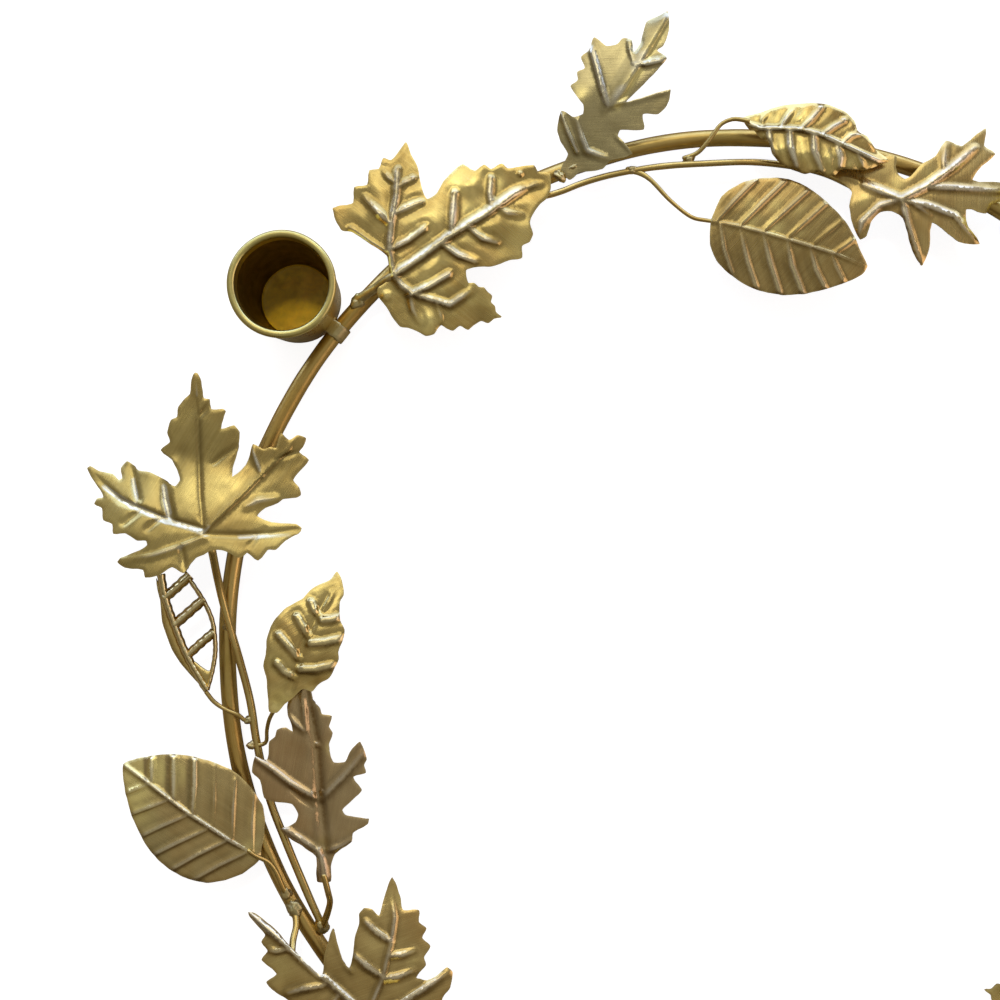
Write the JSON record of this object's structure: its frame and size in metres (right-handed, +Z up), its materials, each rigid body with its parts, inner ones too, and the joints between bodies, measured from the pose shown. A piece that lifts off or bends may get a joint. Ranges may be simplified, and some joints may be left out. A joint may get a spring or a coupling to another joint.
{
  "type": "candle ring",
  "caption": "Leaf wreath candle ring: a round wire hoop with brazed pressed-metal leaves and tapered cups that hold taper candles.",
  "frame": {"origin": "centre of the hoop, on the table plane that the feet of the cups stand on", "axes": "+Z up; +Y towards the top of the picture and +X towards its right, the ring seen from above"},
  "size_m": [0.3422, 0.335, 0.028],
  "materials": {
    "rod": "satin gold-brown lacquer on steel",
    "wire": "satin gold-brown lacquer on steel",
    "cup": "satin champagne gold",
    "leaf_bright": "satin gold, finely brushed",
    "leaf_dull": "satin champagne, finely brushed"
  },
  "bodies": {
    "root": {"hoop": "rod", "cup_1": "cup", "saddle_1": "cup", "cup_2": "cup", "saddle_2": "cup", "cup_3": "cup", "saddle_3": "cup", "cup_4": "cup", "saddle_4": "cup", "maple_b1": "leaf_bright", "wavy_c1": "leaf_bright", "maple_f1": "leaf_bright", "maple_b2": "leaf_bright", "wavy_c2": "leaf_bright", "maple_f2": "leaf_bright", "maple_a1": "leaf_dull", "oval_d1": "leaf_dull", "maple_e1": "leaf_dull", "open_g1": "leaf_dull", "wavy_h1": "leaf_dull", "maple_i1": "leaf_dull", "oval_j1": "leaf_dull", "maple_k1": "leaf_dull", "maple_a2": "leaf_dull", "oval_d2": "leaf_dull", "maple_e2": "leaf_dull", "open_g2": "leaf_dull", "wavy_h2": "leaf_dull", "maple_i2": "leaf_dull", "oval_j2": "leaf_dull", "maple_k2": "leaf_dull", "branch_top1": "wire", "branch_side1": "wire", "stem_b1": "wire", "stem_c1": "wire", "stem_d1": "wire", "stem_g1": "wire", "stem_h1": "wire", "stem_i1": "wire", "stem_j1": "wire", "stem_k1": "wire", "branch_top2": "wire", "branch_side2": "wire", "stem_b2": "wire", "stem_c2": "wire", "stem_d2": "wire", "stem_g2": "wire", "stem_h2": "wire", "stem_i2": "wire", "stem_j2": "wire", "stem_k2": "wire", "beads_1": "wire", "beads_2": "wire"}
  },
  "joints": []
}
